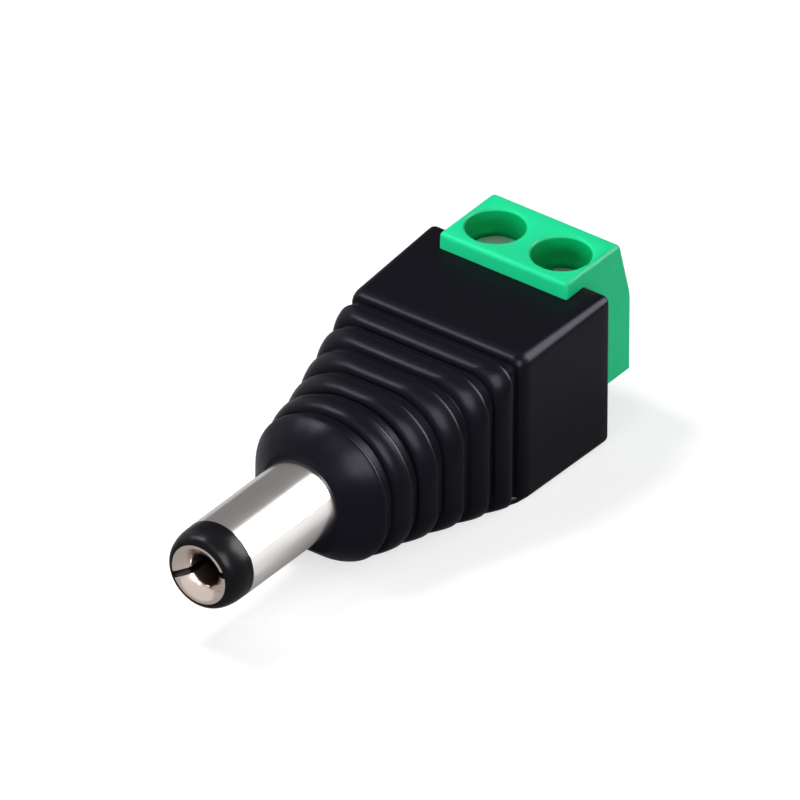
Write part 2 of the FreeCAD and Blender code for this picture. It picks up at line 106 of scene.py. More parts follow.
POLES = (
    Pole("left", -2.54, 1.11, 32.0, Body.SCREW_LEFT),
    Pole("right", 2.54, 0.76, -24.0, Body.SCREW_RIGHT),
)


# Mesh making


def between(start: float, end: float, share: float) -> float:
    """Value part of the way from start to end."""
    return start + (end - start) * share


def make_object(name: str, shape: bmesh.types.BMesh, sharp_deg: float = 32.0) -> bpy.types.Object:
    """Turn a shape in millimetres into an object in metres.

    Args:
        name: Name of the object and its mesh.
        shape: The shape, freed here.
        sharp_deg: Edges sharper than this keep a crease in the shading.

    Returns:
        The new object, linked to the scene.
    """
    bmesh.ops.scale(shape, vec=(MM, MM, MM), verts=shape.verts)
    mesh = bpy.data.meshes.new(name)
    shape.to_mesh(mesh)
    shape.free()
    made = bpy.data.objects.new(name, mesh)
    smooth(made, sharp_deg)
    bpy.context.scene.collection.objects.link(made)
    return made


def loft(rings: Sequence[Sequence[Vector]], capped: bool = True) -> bmesh.types.BMesh:
    """Skin over rings of equal length.

    Args:
        rings: Closed rings of points, in order.
        capped: Whether the first and last rings are closed by a face.

    Returns:
        A closed shape with outward normals.
    """
    shape = bmesh.new()
    rows = [[shape.verts.new(point) for point in ring] for ring in rings]
    count = len(rows[0])
    pairs = list(zip(rows, rows[1:]))
    if not capped:
        pairs.append((rows[-1], rows[0]))
    for low, high in pairs:
        for i in range(count):
            j = (i + 1) % count
            shape.faces.new((low[i], low[j], high[j], high[i]))
    if capped:
        shape.faces.new(rows[0])
        shape.faces.new(rows[-1])
    bmesh.ops.recalc_face_normals(shape, faces=shape.faces)
    return shape


def ring_points(radius: float, place: float, axis: Axis, segments: int) -> list[Vector]:
    """Points of a circle about the plug's axis or the upright axis."""
    points = []
    for step in range(segments):
        angle = 2 * math.pi * step / segments
        a, b = radius * math.cos(angle), radius * math.sin(angle)
        if axis is Axis.PLUG:
            points.append(Vector((a, place, b)))
        else:
            points.append(Vector((a, b, place)))
    return points


def turned(
    outline: Sequence[tuple[float, float]], axis: Axis, segments: int = 96, tube: bool = False
) -> bmesh.types.BMesh:
    """Turned shape from an outline of (radius, place) points.

    Args:
        outline: Points along the outside; for a tube, all the way round its wall.
        axis: The axis that the shape is turned about.
        segments: Facets round the axis.
        tube: Whether the outline closes on itself rather than on the axis.

    Returns:
        A closed shape.
    """
    rings = [ring_points(radius, place, axis, segments) for radius, place in outline]
    return loft(rings, capped=not tube)


def rounded_corner(
    before: Vector, corner: Vector, after: Vector, radius: float, steps: int
) -> list[Vector]:
    """Points of an arc that rounds one corner of an outline.

    Args:
        before: The point before the corner.
        corner: The corner itself.
        after: The point after the corner.
        radius: Radius of the arc; zero leaves the corner sharp.
        steps: Chords in the arc.

    Returns:
        The points from one tangent to the other.
    """
    if radius <= 0:
        return [corner.copy()]
    back = (before - corner).normalized()
    on = (after - corner).normalized()
    half = back.angle(on) / 2
    reach = radius / math.tan(half)
    centre = corner + (back + on).normalized() * (radius / math.sin(half))
    start = corner + back * reach - centre
    end = corner + on * reach - centre
    points = []
    for step in range(steps + 1):
        points.append(centre + start.slerp(end, step / steps).normalized() * radius)
    return points


def rounded_outline(
    corners: Sequence[tuple[float, float, float]], steps: int = 5
) -> list[tuple[float, float]]:
    """Outline in a plane with each corner rounded by its own radius.

    Args:
        corners: (first, second, radius) of each corner.
        steps: Chords in each rounded corner.

    Returns:
        The points of the outline.
    """
    points = [Vector((a, b, 0)) for a, b, _ in corners]
    outline = []
    for i, (_, _, radius) in enumerate(corners):
        arc = rounded_corner(points[i - 1], points[i], points[(i + 1) % len(points)], radius, steps)
        outline += [(point.x, point.y) for point in arc]
    return outline


def block_shape(low: Sequence[float], high: Sequence[float]) -> bmesh.types.BMesh:
    """Rectangular block between two corners."""
    ring = [(low[0], low[2]), (high[0], low[2]), (high[0], high[2]), (low[0], high[2])]
    rings = [[Vector((x, y, z)) for x, z in ring] for y in (low[1], high[1])]
    return loft(rings)


def bevelled_bar(
    front: float, rear: float, half: float, top: float, bottom: float, bevel: float
) -> bmesh.types.BMesh:
    """Bar along the plug's axis with its long edges cut at 45 degrees."""
    ring = [
        (half - bevel, bottom), (half, bottom + bevel), (half, top - bevel), (half - bevel, top),
        (bevel - half, top), (-half, top - bevel), (-half, bottom + bevel), (bevel - half, bottom),
    ]
    rings = [[Vector((x, y, z)) for x, z in ring] for y in (front, rear)]
    return loft(rings)


def carve(base: bpy.types.Object, tools: Iterable[bmesh.types.BMesh], join: bool = False) -> None:
    """Cut shapes out of an object, or join them to it.

    Args:
        base: The object, whose mesh is replaced by the result.
        tools: Shapes in millimetres, freed here.
        join: Whether the tools are added rather than cut away.
    """
    for number, tool in enumerate(tools):
        helper = make_object(f"{base.name}_tool_{number}", tool)
        change = base.modifiers.new("carve", "BOOLEAN")
        change.operation = "UNION" if join else "DIFFERENCE"
        change.solver = "EXACT"
        change.object = helper
        bake(base)
        mesh = helper.data
        bpy.data.objects.remove(helper)
        bpy.data.meshes.remove(mesh)


def bake(made: bpy.types.Object) -> None:
    """Replace an object's mesh by what its modifiers give, and drop them."""
    bpy.context.view_layer.update()
    graph = bpy.context.evaluated_depsgraph_get()
    mesh = bpy.data.meshes.new_from_object(made.evaluated_get(graph))
    old = made.data
    made.modifiers.clear()
    made.data = mesh
    mesh.name = made.name
    bpy.data.meshes.remove(old)


def soften(
    made: bpy.types.Object, width: float, steps: int, chosen: Callable[[Vector, Vector], bool]
) -> None:
    """Round the chosen sharp edges of an object.

    Args:
        made: The object.
        width: Width of the rounding in millimetres.
        steps: Facets across the rounding.
        chosen: Says from an edge's two ends, in millimetres, whether it is rounded.
    """
    same_place, same_plane, sharp = 1e-7, math.radians(0.5), math.radians(25)
    shape = bmesh.new()
    shape.from_mesh(made.data)
    bmesh.ops.remove_doubles(shape, verts=shape.verts, dist=same_place)
    bmesh.ops.dissolve_limit(
        shape, angle_limit=same_plane, verts=shape.verts, edges=shape.edges
    )
    edges = []
    for edge in shape.edges:
        if len(edge.link_faces) != 2 or edge.calc_face_angle(0.0) < sharp:
            continue
        ends = [vert.co / MM for vert in edge.verts]
        if chosen(ends[0], ends[1]):
            edges.append(edge)
    bmesh.ops.bevel(
        shape, geom=edges, offset=width * MM, segments=steps, profile=0.5, affect="EDGES",
        clamp_overlap=True,
    )
    shape.to_mesh(made.data)
    shape.free()


def smooth(made: bpy.types.Object, sharp_deg: float) -> None:
    """Shade an object smooth, with creases at edges sharper than an angle."""
    made.data.shade_smooth()
    made.data.set_sharp_from_angle(angle=math.radians(sharp_deg))


# Node trees


class Tree:
    """Short calls for building a node tree."""

    def __init__(self, tree: bpy.types.NodeTree) -> None:
        """Wrap a node tree."""
        self.tree = tree

    def node(self, kind: str, **values: object) -> bpy.types.Node:
        """Add a node and set its properties."""
        made = self.tree.nodes.new(kind)
        for name, value in values.items():
            setattr(made, name, value)
        return made

    def link(self, source: bpy.types.NodeSocket, target: bpy.types.NodeSocket) -> None:
        """Join two sockets."""
        self.tree.links.new(source, target)

    def feed(self, target: bpy.types.NodeSocket, value: object) -> None:
        """Set a socket from a number or link it from another socket."""
        if isinstance(value, bpy.types.NodeSocket):
            self.link(value, target)
        else:
            target.default_value = value

    def math(self, operation: str, *values: object) -> bpy.types.NodeSocket:
        """Add a Math node over numbers or sockets."""
        made = self.node("ShaderNodeMath", operation=operation)
        for socket, value in zip(made.inputs, values):
            self.feed(socket, value)
        return made.outputs[0]


def add_inputs(group: bpy.types.NodeTree, values: dict[str, float]) -> None:
    """Add number inputs to a node group.

    Args:
        group: The group.
        values: Name and default value of each input.
    """
    for label, value in values.items():
        socket = group.interface.new_socket(label, in_out="INPUT", socket_type="NodeSocketFloat")
        socket.default_value = value


def grain_group() -> bpy.types.NodeTree:
    """Shader group of a fine moulded or cast grain.

    Returns:
        A group with Scale, Coarseness and Patch size, giving Height and Patch.
    """
    name = "fine grain"
    if name in bpy.data.node_groups:
        return bpy.data.node_groups[name]
    group = bpy.data.node_groups.new(name, "ShaderNodeTree")
    add_inputs(group, {"Scale": 9000.0, "Coarseness": 0.5, "Patch size": 400.0})
    group.interface.new_socket("Height", in_out="OUTPUT", socket_type="NodeSocketFloat")
    group.interface.new_socket("Patch", in_out="OUTPUT", socket_type="NodeSocketFloat")
    tree = Tree(group)
    inputs = tree.node("NodeGroupInput")
    outputs = tree.node("NodeGroupOutput")
    place = tree.node("ShaderNodeTexCoord")
    fine = tree.node("ShaderNodeTexNoise")
    fine.inputs["Detail"].default_value = 3.0
    tree.link(place.outputs["Object"], fine.inputs["Vector"])
    tree.link(inputs.outputs["Scale"], fine.inputs["Scale"])
    tree.link(inputs.outputs["Coarseness"], fine.inputs["Roughness"])
    tree.link(fine.outputs["Fac"], outputs.inputs["Height"])
    patch = tree.node("ShaderNodeTexNoise")
    patch.inputs["Detail"].default_value = 2.0
    tree.link(place.outputs["Object"], patch.inputs["Vector"])
    tree.link(inputs.outputs["Patch size"], patch.inputs["Scale"])
    tree.link(patch.outputs["Fac"], outputs.inputs["Patch"])
    return group


def streak_group() -> bpy.types.NodeTree:
    """Shader group of faint turning or drawing marks along one axis.

    Returns:
        A group with Across and Along, giving Height.
    """
    name = "drawn marks"
    if name in bpy.data.node_groups:
        return bpy.data.node_groups[name]
    group = bpy.data.node_groups.new(name, "ShaderNodeTree")
    add_inputs(group, {"Across": 60.0, "Along": 9000.0})
    group.interface.new_socket("Height", in_out="OUTPUT", socket_type="NodeSocketFloat")
    tree = Tree(group)
    inputs = tree.node("NodeGroupInput")
    outputs = tree.node("NodeGroupOutput")
    place = tree.node("ShaderNodeTexCoord")
    split = tree.node("ShaderNodeSeparateXYZ")
    tree.link(place.outputs["Object"], split.inputs[0])
    merge = tree.node("ShaderNodeCombineXYZ")
    for letter, fineness in (("X", "Across"), ("Y", "Along"), ("Z", "Across")):
        scaled = tree.math("MULTIPLY", split.outputs[letter], inputs.outputs[fineness])
        tree.link(scaled, merge.inputs[letter])
    noise = tree.node("ShaderNodeTexNoise")
    noise.inputs["Scale"].default_value = 1.0
    noise.inputs["Detail"].default_value = 3.0
    tree.link(merge.outputs[0], noise.inputs["Vector"])
    tree.link(noise.outputs["Fac"], outputs.inputs["Height"])
    return group


# How far light spreads inside the green plastic: its share by colour, and millimetres.
GLOW_RADIUS = (0.4, 1.0, 0.6)
GLOW_DEPTH = 0.6

# The smoothest that a metal is made.
SMOOTHEST = 0.02


def add_patches(
    tree: Tree, shader: bpy.types.Node, colour: Colour, shade: Colour, patch: bpy.types.NodeSocket
) -> None:
    """Colour a shader with two near shades that change from patch to patch."""
    mix = tree.node("ShaderNodeMix", data_type="RGBA")
    mix.inputs["A"].default_value = (*colour, 1.0)
    mix.inputs["B"].default_value = (*shade, 1.0)
    tree.link(patch, mix.inputs["Factor"])
    tree.link(mix.outputs["Result"], shader.inputs["Base Color"])


def vary_roughness(
    tree: Tree, shader: bpy.types.Node, low: float, high: float, source: bpy.types.NodeSocket
) -> None:
    """Let a shader's roughness run from low to high with another value."""
    rough = tree.node("ShaderNodeMapRange")
    rough.inputs["To Min"].default_value = low
    rough.inputs["To Max"].default_value = high
    tree.link(source, rough.inputs["Value"])
    tree.link(rough.outputs["Result"], shader.inputs["Roughness"])


def add_relief(
    tree: Tree, shader: bpy.types.Node, depth: float, height: bpy.types.NodeSocket
) -> None:
    """Give a shader a relief of some depth in metres."""
    bump = tree.node("ShaderNodeBump")
    bump.inputs["Distance"].default_value = depth
    tree.link(height, bump.inputs["Height"])
    tree.link(bump.outputs["Normal"], shader.inputs["Normal"])


@dataclass(frozen=True)
class Plastic:
    """Moulded plastic with a fine grain and a slightly uneven sheen.

    Args:
        name: Name of the material.
        colour: Linear base colour.
        shade: Colour of its slightly darker patches.
        roughness: Middle roughness.
        spread: How far the roughness varies from patch to patch.
        grain: Scale of the grain.
        relief: Depth of the grain in metres.
        sheen_level: Strength of the reflections, 0.5 for clear gloss.
        sheen_tint: Colour of the reflections seen straight on.
        glow: Weight of the light scattered below the surface.
    """

    name: str
    colour: Colour
    shade: Colour
    roughness: float = 0.45
    spread: float = 0.08
    grain: float = 9000.0
    relief: float = 0.000004
    sheen_level: float = 0.5
    sheen_tint: Colour = (1.0, 1.0, 1.0)
    glow: float = 0.0

    def build(self) -> bpy.types.Material:
        """Make the material."""
        material, tree, shader = blank_material(self.name)
        grain = tree.node("ShaderNodeGroup", node_tree=grain_group())
        grain.inputs["Scale"].default_value = self.grain
        patch = grain.outputs["Patch"]
        add_patches(tree, shader, self.colour, self.shade, patch)
        low, high = self.roughness - self.spread, self.roughness + self.spread
        vary_roughness(tree, shader, low, high, patch)
        add_relief(tree, shader, self.relief, grain.outputs["Height"])
        shader.inputs["Specular IOR Level"].default_value = self.sheen_level
        shader.inputs["Specular Tint"].default_value = (*self.sheen_tint, 1.0)
        if self.glow:
            shader.inputs["Subsurface Weight"].default_value = self.glow
            shader.inputs["Subsurface Radius"].default_value = GLOW_RADIUS
            shader.inputs["Subsurface Scale"].default_value = GLOW_DEPTH * MM
        return material


@dataclass(frozen=True)
class Metal:
    """Plated or bare metal with faint marks from drawing or turning.

    Args:
        name: Name of the material.
        colour: Linear base colour.
        shade: Colour of its duller patches.
        roughness: Middle roughness.
        spread: How far the roughness varies.
        relief: Depth of the marks in metres.
        across: Fineness of the marks round the axis.
        along: Fineness of the marks along the axis.
    """

    name: str
    colour: Colour
    shade: Colour
    roughness: float = 0.2
    spread: float = 0.05
    relief: float = 0.000001
    across: float = 300.0
    along: float = 9000.0

    def build(self) -> bpy.types.Material:
        """Make the material."""
        material, tree, shader = blank_material(self.name)
        shader.inputs["Metallic"].default_value = 1.0
        grain = tree.node("ShaderNodeGroup", node_tree=grain_group())
        marks = tree.node("ShaderNodeGroup", node_tree=streak_group())
        marks.inputs["Across"].default_value = self.across
        marks.inputs["Along"].default_value = self.along
        height = marks.outputs["Height"]
        add_patches(tree, shader, self.colour, self.shade, grain.outputs["Patch"])
        low, high = max(self.roughness - self.spread, SMOOTHEST), self.roughness + self.spread
        vary_roughness(tree, shader, low, high, height)
        add_relief(tree, shader, self.relief, height)
        return material


def blank_material(name: str) -> tuple[bpy.types.Material, Tree, bpy.types.Node]:
    """Material with an unconnected Principled shader.

    Args:
        name: Name of the material.

    Returns:
        The material, its tree and its shader.
    """
    material = bpy.data.materials.new(name)
    material.use_nodes = True
    tree = Tree(material.node_tree)
    shader = material.node_tree.nodes["Principled BSDF"]
    return material, tree, shader


class Finish(Enum):
    """Every finish on the plug."""

    BLACK_PLASTIC = Plastic(
        "satin black plastic", (0.0050, 0.0048, 0.0080), (0.0042, 0.0040, 0.0068), 0.30, 0.05,
        sheen_level=0.065, sheen_tint=(0.84, 0.81, 1.0),
    )
    # Painted shade: a darker, duller green for the inside walls of the screw wells.
    WELL_PLASTIC = Plastic(
        "duller green plastic", (0.001, 0.46, 0.14), (0.001, 0.40, 0.12), 0.55, 0.05,
        sheen_level=0.03,
    )
    GREEN_PLASTIC = Plastic(
        "mint green plastic", (0.018, 0.78, 0.34), (0.015, 0.73, 0.31), 0.38, 0.05,
        grain=7000.0, relief=0.000002, sheen_level=0.08, glow=0.03,
    )
    TIP_PLASTIC = Plastic(
        "glossy black tip", (0.004, 0.004, 0.006), (0.006, 0.006, 0.008), 0.26, 0.05,
        sheen_level=0.07,
    )
    NICKEL = Metal("bright nickel plate", (0.86, 0.83, 0.81), (0.80, 0.77, 0.75), 0.19, 0.04)
    CONTACT = Metal("plated contact bronze", (0.66, 0.57, 0.51), (0.54, 0.45, 0.40), 0.22, 0.06)
    CAGE = Metal("plated brass", (0.72, 0.62, 0.40), (0.62, 0.52, 0.34), 0.28, 0.06)
    TINNED = Metal("tinned strip", (0.70, 0.70, 0.69), (0.62, 0.62, 0.62), 0.32, 0.08)
    SCREW_STEEL = Metal("zinc plated steel", (0.62, 0.64, 0.63), (0.48, 0.50, 0.49), 0.40, 0.07)
    COPPER = Metal(
        "tinned copper strands", (0.80, 0.46, 0.30), (0.66, 0.36, 0.22), 0.35, 0.1,
        relief=0.00001, across=6000.0, along=300.0,
    )
    SOLDER = Metal("solder", (0.64, 0.64, 0.65), (0.55, 0.55, 0.57), 0.3, 0.1)
    RED_SLEEVING = Plastic("red vinyl", (0.42, 0.015, 0.012), (0.36, 0.012, 0.010), 0.4, 0.05)
    BLACK_SLEEVING = Plastic("black vinyl", (0.015, 0.015, 0.015), (0.02, 0.02, 0.02), 0.4, 0.05)


class Paint:
    """The materials made from the finishes, each built once."""

    def __init__(self) -> None:
        """Build every finish."""
        self.made = {finish: finish.value.build() for finish in Finish}

    def __getitem__(self, finish: Finish) -> bpy.types.Material:
        """The material of one finish."""
        return self.made[finish]

    def dress(self, made: bpy.types.Object, finish: Finish) -> None:
        """Give an object one finish all over."""
        made.data.materials.clear()
        made.data.materials.append(self.made[finish])
        for face in made.data.polygons:
            face.material_index = 0


def stand_in(made: bpy.types.Object, node: str, body: Body) -> None:
    """Let a finished piece stand for a node of the frame."""
    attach(made, body.value)
    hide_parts(node)
    log.info("%s stands for %s, %d faces", made.name, node, len(made.data.polygons))


# The black housing


@dataclass
class Housing:
    """Hollow black shell: box, ribbed grip and nose.

    The grip is nearly square at the box and nearly round at the nose. The ribs are cut into it by
    a Geometry Nodes tree.
    """

    bottom: float = -5.14
    box_length: float = 9.1
    box_rear_half: float = 6.93
    box_rear_top: float = 5.75
    box_rear_corner: float = 0.5
    box_front_half: float = 6.744
    box_front_top: float = 5.53
    box_front_top_corner: float = 0.95
    box_front_low_corner: float = 0.4
    taper_length: float = 13.98
    nose_half: float = 5.09
    nose_top: float = 4.77
    nose_top_corner: float = 5.58
    top_corner_curve: float = 2.2
    nose_low_corner: float = 4.15
    low_corner_curve: float = 1.75
    face_half: float = 2.95
    face_top: float = 3.15
    face_bottom: float = -3.49
    cone_curve: float = 1.6
    nose_rear: float = 2.42
    nose_middle: float = 1.21
    rib_pitch: float = 2.18
    groove_width: float = 0.62
    groove_depth: float = 0.52
    side_spread: float = 0.9
    rib_front_rounding: float = 0.95
    rib_rear_rounding: float = 0.45
    rear_rounding: float = 0.45
    smallest_corner: float = 0.15
    corner_margin: float = 0.03
    station_step: float = 0.045
    fine_reach: float = 1.0
    corner_steps: int = 20
    side_steps: int = 8
    rear_steps: int = 6
    fade_start: float = -0.98
    fade_end: float = -0.6
    stem_hole: float = 2.37
    nose_wall: float = 3.0
    lug_room: float = 3.6
    lug_room_rear: float = 4.5
    neck_front: float = 4.4
    neck_rear: float = 9.7
    neck_half: float = 3.45
    neck_bevel: float = 1.6
    room_front: float = 9.6
    room_half: float = 4.5
    room_floor: float = 1.5
    room_bevel: float = 0.8
    slot_half: float = 4.985
    slot_front: float = 20.97
    pocket_front: float = 19.0
    pocket_bottom: float = -2.9
    cavity_top: float = 4.03

    def section(
        self, y: float, half: float, top: float, bottom: float, top_corner: float, low_corner: float
    ) -> list[Vector]:
        """Points of one section across the plug's axis.

        Args:
            y: Place along the axis.
            half: Half of the width.
            top: Height of the top.
            bottom: Height of the bottom.
            top_corner: Radius of the two upper corners.
            low_corner: Radius of the two lower corners.

        Returns:
            The ring of points, the same number for every section.
        """
        largest = min(half, (top - bottom) / 2) - self.corner_margin
        top_corner = min(max(top_corner, self.smallest_corner), largest)
        low_corner = min(max(low_corner, self.smallest_corner), largest)
        corners = (
            (half - top_corner, top - top_corner, top_corner, 0),
            (top_corner - half, top - top_corner, top_corner, 1),
            (low_corner - half, bottom + low_corner, low_corner, 2),
            (half - low_corner, bottom + low_corner, low_corner, 3),
        )
        points = []
        for x, z, radius, quarter in corners:
            for step in range(self.corner_steps + 1):
                angle = math.pi / 2 * (quarter + step / self.corner_steps)
                across, up = radius * math.cos(angle), radius * math.sin(angle)
                points.append(Vector((x + across, y, z + up)))
        ring = []
        for i, point in enumerate(points):
            ring.append(point)
            if i % (self.corner_steps + 1) == self.corner_steps:
                following = points[(i + 1) % len(points)]
                for step in range(1, self.side_steps):
                    ring.append(point.lerp(following, step / self.side_steps))
        return ring

    def grip_sizes(self, y: float) -> tuple[float, float, float, float, float]:
        """Half width, top, bottom and the two corner radii of the unribbed grip at y."""
        forward = (self.taper_length - y) / self.taper_length
        ease = forward * forward * (3 - 2 * forward)
        top_growth = 1 - (1 - forward) ** self.top_corner_curve
        low_growth = 1 - (1 - forward) ** self.low_corner_curve
        return (
            between(self.box_front_half, self.nose_half, ease),
            between(self.box_front_top, self.nose_top, forward),
            self.bottom,
            between(self.box_front_top_corner, self.nose_top_corner, top_growth),
            between(self.box_front_low_corner, self.nose_low_corner, low_growth),
        )

    def grip_section(self, y: float) -> list[Vector]:
        """Section of the unribbed grip at y."""
        return self.section(y, *self.grip_sizes(y))

    def nose_section(self, y: float) -> list[Vector]:
        """Section of the nose, a bulging cone from its face back to the first groove."""
        half, top, bottom, top_corner, low_corner = self.grip_sizes(self.nose_middle)
        ahead = (1 - y / self.nose_rear) ** self.cone_curve
        narrowed = between(half, self.face_half, ahead)
        return self.section(
            y,
            narrowed,
            between(top, self.face_top, ahead),
            between(bottom, self.face_bottom, ahead),
            top_corner - half + narrowed,
            low_corner - half + narrowed,
        )

    def box_section(self, y: float, inset: float = 0.0) -> list[Vector]:
        """Section of the box at y."""
        back = (y - self.taper_length) / self.box_length
        return self.section(
            y,
            between(self.box_front_half, self.box_rear_half, back) - inset,
            between(self.box_front_top, self.box_rear_top, back) - inset,
            self.bottom + inset,
            between(self.box_front_top_corner, self.box_rear_corner, back) - inset / 2,
            between(self.box_front_low_corner, self.box_rear_corner, back) - inset / 2,
        )

    def sections(self) -> list[list[Vector]]:
        """All sections of the unribbed shell from the nose to the rear."""
        rings = []
        y = 0.0
        while y < self.nose_rear:
            rings.append(self.nose_section(y))
            y += self.station_step
        while y < self.taper_length:
            rings.append(self.grip_section(y))
            y += self.station_step
        end = self.taper_length + self.fine_reach
        y = self.taper_length
        while y < end:
            rings.append(self.box_section(y))
            y += self.station_step
        rear = self.taper_length + self.box_length
        for share in (0.3, 0.6, 0.9):
            rings.append(self.box_section(between(end, rear - self.rear_rounding, share)))
        for step in range(self.rear_steps + 1):
            angle = math.pi / 2 * step / self.rear_steps
            inset = self.rear_rounding * (1 - math.cos(angle))
            along = rear - self.rear_rounding * (1 - math.sin(angle))
            rings.append(self.box_section(along, inset))
        return rings

    def rib_tree(self, material: bpy.types.Material) -> bpy.types.NodeTree:
        """Geometry Nodes tree that sinks the grooves between the ribs.

        Args:
            material: The finish set on the result.

        Returns:
            The tree, with its sizes as named inputs in metres.
        """
        group = bpy.data.node_groups.new("grip ribs", "GeometryNodeTree")
        group.interface.new_socket("Shell", in_out="INPUT", socket_type="NodeSocketGeometry")
        labels = (
            "First groove", "Pitch", "Groove width", "Depth", "Side spread", "Front rounding",
            "Rear rounding", "End",
        )
        add_inputs(group, dict.fromkeys(labels, 0.0))
        group.interface.new_socket("Finish", in_out="INPUT", socket_type="NodeSocketMaterial")
        group.interface.new_socket(
            "Ribbed shell", in_out="OUTPUT", socket_type="NodeSocketGeometry"
        )
        tree = Tree(group)
        inputs = tree.node("NodeGroupInput").outputs
        outputs = tree.node("NodeGroupOutput").inputs
        position = tree.node("GeometryNodeInputPosition")
        split = tree.node("ShaderNodeSeparateXYZ")
        tree.link(position.outputs[0], split.inputs[0])
        y = split.outputs["Y"]
        past_first = tree.math("SUBTRACT", y, inputs["First groove"])
        phase = tree.math("FLOORED_MODULO", past_first, inputs["Pitch"])
        normal = tree.node("GeometryNodeInputNormal")
        flat = tree.node("ShaderNodeVectorMath", operation="MULTIPLY")
        tree.link(normal.outputs[0], flat.inputs[0])
        flat.inputs[1].default_value = (1.0, 0.0, 1.0)
        unit = tree.node("ShaderNodeVectorMath", operation="NORMALIZE")
        tree.link(flat.outputs[0], unit.inputs[0])
        facing = tree.node("ShaderNodeSeparateXYZ")
        tree.link(unit.outputs[0], facing.inputs[0])
        sideways = tree.math("ABSOLUTE", facing.outputs["X"], 0.0)
        spread = tree.math("ADD", 1.0, tree.math("MULTIPLY", sideways, inputs["Side spread"]))
        width = tree.math("MULTIPLY", inputs["Groove width"], spread)
        deepening = tree.math("MULTIPLY", tree.math("ADD", spread, 1.0), 0.5)
        depth = tree.math("MULTIPLY", inputs["Depth"], deepening)
        ahead = tree.math("SUBTRACT", tree.math("ADD", width, inputs["Front rounding"]), phase)
        front = self.rim(tree, ahead, inputs["Front rounding"])
        crest_end = tree.math("SUBTRACT", inputs["Pitch"], inputs["Rear rounding"])
        behind = tree.math("SUBTRACT", phase, crest_end)
        rear = self.rim(tree, behind, inputs["Rear rounding"])
        floor = tree.math("LESS_THAN", phase, width)
        shape = tree.math("MAXIMUM", floor, tree.math("ADD", front, rear))
        sunk = tree.math("MULTIPLY", shape, depth)
        begin = tree.math("SUBTRACT", inputs["First groove"], inputs["Rear rounding"])
        begun, ended = tree.math("GREATER_THAN", y, begin), tree.math("LESS_THAN", y, inputs["End"])
        inside = tree.math("MULTIPLY", begun, ended)
        above = tree.node("ShaderNodeMapRange")
        above.inputs["From Min"].default_value = self.fade_start
        above.inputs["From Max"].default_value = self.fade_end
        tree.link(facing.outputs["Z"], above.inputs["Value"])
        inset = tree.math("MULTIPLY", tree.math("MULTIPLY", sunk, inside), above.outputs["Result"])
        offset = tree.node("ShaderNodeVectorMath", operation="SCALE")
        tree.link(unit.outputs[0], offset.inputs[0])
        tree.link(tree.math("MULTIPLY", inset, -1.0), offset.inputs["Scale"])
        move = tree.node("GeometryNodeSetPosition")
        tree.link(inputs["Shell"], move.inputs["Geometry"])
        tree.link(offset.outputs[0], move.inputs["Offset"])
        realize = tree.node("GeometryNodeRealizeInstances")
        tree.link(move.outputs[0], realize.inputs[0])
        paint = tree.node("GeometryNodeSetMaterial")
        tree.link(realize.outputs[0], paint.inputs["Geometry"])
        tree.link(inputs["Finish"], paint.inputs["Material"])
        tree.link(paint.outputs[0], outputs[0])
        return group

    def rim(
        self, tree: Tree, reach: bpy.types.NodeSocket, radius: bpy.types.NodeSocket
    ) -> bpy.types.NodeSocket:
        """Nodes for the depth of a rounded rim.

        Args:
            tree: The tree being built.
            reach: Distance into the rounding.
            radius: Length of the rounding.

        Returns:
            The share of the groove's depth, from zero to one.
        """
        share = tree.node("ShaderNodeMath", operation="DIVIDE", use_clamp=True)
        tree.link(reach, share.inputs[0])
        tree.link(radius, share.inputs[1])
        square = tree.math("MULTIPLY", share.outputs[0], share.outputs[0])
        level = tree.math("SQRT", tree.math("SUBTRACT", 1.0, square))
        return tree.math("SUBTRACT", 1.0, level)

    def cut_ribs(self, shell: bpy.types.Object, material: bpy.types.Material) -> None:
        """Run the rib tree over the shell and keep its result as a plain mesh."""
        group = self.rib_tree(material)
        sizes = {
            "First groove": self.nose_rear,
            "Pitch": self.rib_pitch,
            "Groove width": self.groove_width,
            "Depth": self.groove_depth,
            "Side spread": self.side_spread,
            "Front rounding": self.rib_front_rounding,
            "Rear rounding": self.rib_rear_rounding,
            "End": self.taper_length + self.rib_front_rounding,
        }
        change = shell.modifiers.new("grip ribs", "NODES")
        change.node_group = group
        for item in group.interface.items_tree:
            if item.in_out == "INPUT" and item.name in sizes:
                change[item.identifier] = sizes[item.name] * MM
            if item.in_out == "INPUT" and item.name == "Finish":
                change[item.identifier] = material
        bake(shell)

    def hollows(self) -> list[bmesh.types.BMesh]:
        """Shapes of the stem hole, the rooms for lug and leads, the pocket and the slot."""
        rear = self.taper_length + self.box_length
        return [
            turned([(self.stem_hole, -REACH), (self.stem_hole, self.nose_wall + 0.2)], Axis.PLUG),
            turned(
                [(self.lug_room, self.nose_wall), (self.lug_room, self.lug_room_rear)], Axis.PLUG
            ),
            bevelled_bar(
                self.neck_front, self.neck_rear, self.neck_half, self.neck_half, -self.neck_half,
                self.neck_bevel,
            ),
            bevelled_bar(
                self.room_front, self.pocket_front + 0.1, self.room_half, self.cavity_top,
                self.bottom + self.room_floor, self.room_bevel,
            ),
            block_shape(
                (-self.slot_half, self.pocket_front, self.pocket_bottom),
                (self.slot_half, rear + REACH, self.cavity_top),
            ),
            block_shape(
                (-self.slot_half, self.slot_front, self.pocket_bottom + 0.5),
                (self.slot_half, rear + REACH, self.box_rear_top + REACH),
            ),
        ]

    def build(self, paint: Paint) -> None:
        """Make the housing and let it stand for its node."""
        shell = make_object("housing_shell", loft(self.sections()))
        self.cut_ribs(shell, paint[Finish.BLACK_PLASTIC])
        carve(shell, self.hollows())
        smooth(shell, 40.0)
        paint.dress(shell, Finish.BLACK_PLASTIC)
        stand_in(shell, "housing", Body.SHELL)


# The barrel


